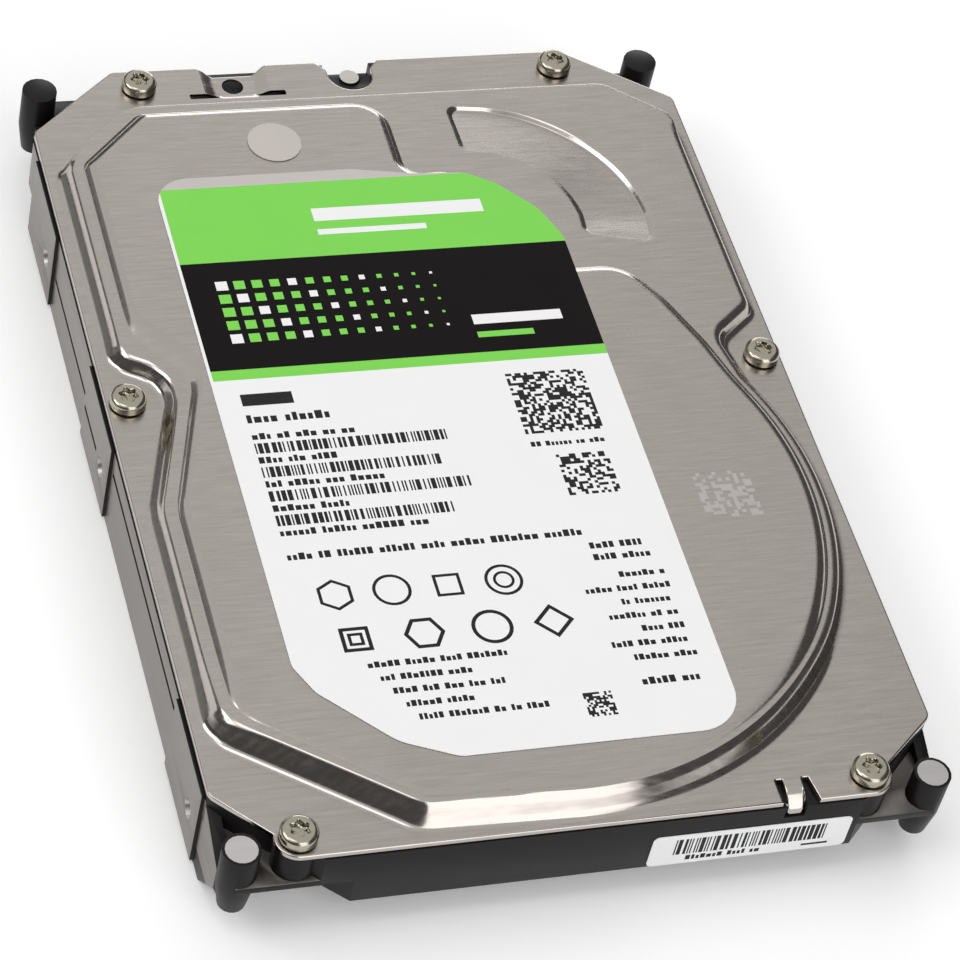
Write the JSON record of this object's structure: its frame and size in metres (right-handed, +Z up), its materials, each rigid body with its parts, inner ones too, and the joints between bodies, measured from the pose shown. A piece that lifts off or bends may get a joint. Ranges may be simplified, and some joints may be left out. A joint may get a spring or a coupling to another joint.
{
  "type": "hard disk drive",
  "caption": "Low-height 3.5-inch hard disk drive: a black cast tub with corner posts, a stepped brushed cover, a printed label, and a spindle, actuator and latch inside.",
  "frame": {"origin": "middle of the rectangle on which the side rails stand, at the underside", "axes": "+Z up from the rails to the label, +Y toward the connector end, +X to the right for someone who reads the label from the spindle end"},
  "size_m": [0.1016, 0.147, 0.0202],
  "materials": {
    "black_coat": "satin black coating with machined faces",
    "cover_steel": "brushed",
    "bright_steel": "polished",
    "plated_steel": "plated",
    "aluminium": "machined",
    "disc_mirror": "mirror polished",
    "label_print": "printed film",
    "seal_film": "metallised film",
    "black_plastic": "moulded",
    "pale_plastic": "moulded",
    "rubber": "matt",
    "copper": "enamelled copper wire",
    "board": "solder mask over glass fibre",
    "film": "polyimide film",
    "cloth": "filter cloth"
  },
  "bodies": {
    "case": {"base_casting": "black_coat", "top_cover": "cover_steel", "cover_gasket": "rubber", "top_label": "label_print", "end_label": "label_print", "port_seal": "seal_film", "rear_locating_pin": "bright_steel", "pcb": "board", "pcb_insulator": "black_plastic", "sata_connector": "black_plastic", "service_header": "black_plastic", "controller_chip": "black_plastic", "memory_chip": "black_plastic", "motor_driver_chip": "black_plastic", "motor_base": "aluminium", "motor_stator": "copper", "lower_magnet_plate": "plated_steel", "lower_magnet": "plated_steel", "upper_magnet": "plated_steel", "upper_magnet_plate": "plated_steel", "magnet_post_inner": "plated_steel", "magnet_post_outer": "plated_steel", "crash_stop_inner": "rubber", "crash_stop_outer": "rubber", "load_ramp": "pale_plastic", "ramp_screw": "plated_steel", "pivot_shaft": "bright_steel", "flex_bracket": "black_plastic", "flex_cable": "film", "breather_filter": "cloth", "recirculation_filter": "cloth", "latch_pin": "bright_steel", "cover_screw_far_left": "bright_steel", "cover_screw_far_right": "bright_steel", "cover_screw_mid_left": "bright_steel", "cover_screw_mid_right": "bright_steel", "cover_screw_near_left": "bright_steel", "cover_screw_near_right": "bright_steel", "pcb_screw_1": "plated_steel", "pcb_screw_2": "plated_steel", "pcb_screw_3": "plated_steel", "pcb_screw_4": "plated_steel"},
    "spindle": {"spindle_shaft": "bright_steel", "spindle_hub": "aluminium", "rotor_magnet": "plated_steel", "lower_platter": "disc_mirror", "platter_spacer": "aluminium", "upper_platter": "disc_mirror", "disc_clamp": "plated_steel", "clamp_screw_1": "plated_steel", "clamp_screw_2": "plated_steel", "clamp_screw_3": "plated_steel"},
    "actuator": {"actuator_block": "aluminium", "pivot_bearing": "plated_steel", "voice_coil": "copper", "head_suspension_1": "plated_steel", "head_suspension_2": "plated_steel", "head_suspension_3": "plated_steel", "head_suspension_4": "plated_steel"},
    "latch": {"actuator_latch": "black_plastic"}
  },
  "joints": [
    {"name": "spindle_spin", "type": "hinge", "parent": "case", "child": "spindle", "pos_m": [0, -0.022, 0.01], "axis": [0, 0, 1], "continuous": true},
    {"name": "actuator_swing", "type": "hinge", "parent": "case", "child": "actuator", "pos_m": [0.012, 0.03403, 0.012], "axis": [0, 0, 1], "range_deg": [0, 36], "deforming": ["flex_cable"]},
    {"name": "latch_tilt", "type": "hinge", "parent": "case", "child": "latch", "pos_m": [0.03849, 0.02224, 0.012], "axis": [0, 0, 1], "range_deg": [-8, 8]}
  ]
}
